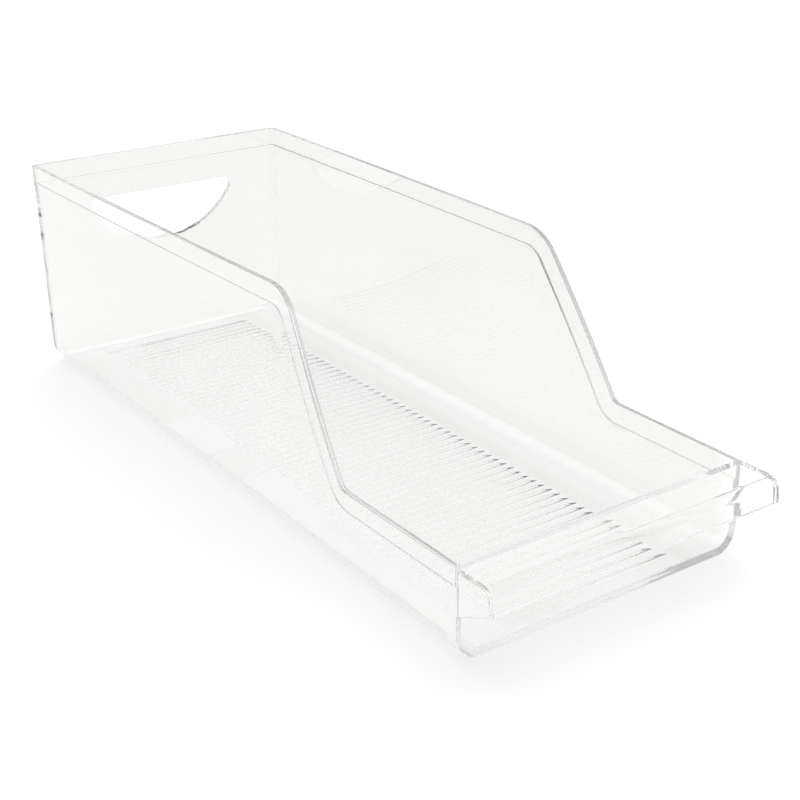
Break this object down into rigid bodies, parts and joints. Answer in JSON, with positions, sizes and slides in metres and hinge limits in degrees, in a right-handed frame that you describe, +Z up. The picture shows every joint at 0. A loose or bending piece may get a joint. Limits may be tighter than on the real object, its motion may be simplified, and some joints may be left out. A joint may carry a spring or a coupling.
{
  "type": "fridge drink organizer bin",
  "caption": "Clear open-top bin for drink cans lying crosswise on a fridge shelf: tall back with hand hole, sloping sides, low front with a downturned pull lip.",
  "frame": {"origin": "centre of the footprint of the whole bin, pull lip included, on the shelf that it stands on", "axes": "+Z up; +Y along the bin from the low front with its pull lip to the rear wall with its hand hole; +X to the right seen from the front"},
  "size_m": [0.14, 0.3676, 0.104],
  "materials": {
    "clear_plastic": "clear, polished"
  },
  "bodies": {
    "root": {"floor_panel": "clear_plastic", "floor_ribs": "clear_plastic", "left_floor_bend": "clear_plastic", "right_floor_bend": "clear_plastic", "left_wall_bend": "clear_plastic", "right_wall_bend": "clear_plastic", "left_side_wall": "clear_plastic", "right_side_wall": "clear_plastic", "rear_wall": "clear_plastic", "front_wall": "clear_plastic", "left_rim": "clear_plastic", "right_rim": "clear_plastic", "rear_rim": "clear_plastic", "pull_lip": "clear_plastic", "left_lip_end": "clear_plastic", "right_lip_end": "clear_plastic"}
  },
  "joints": []
}
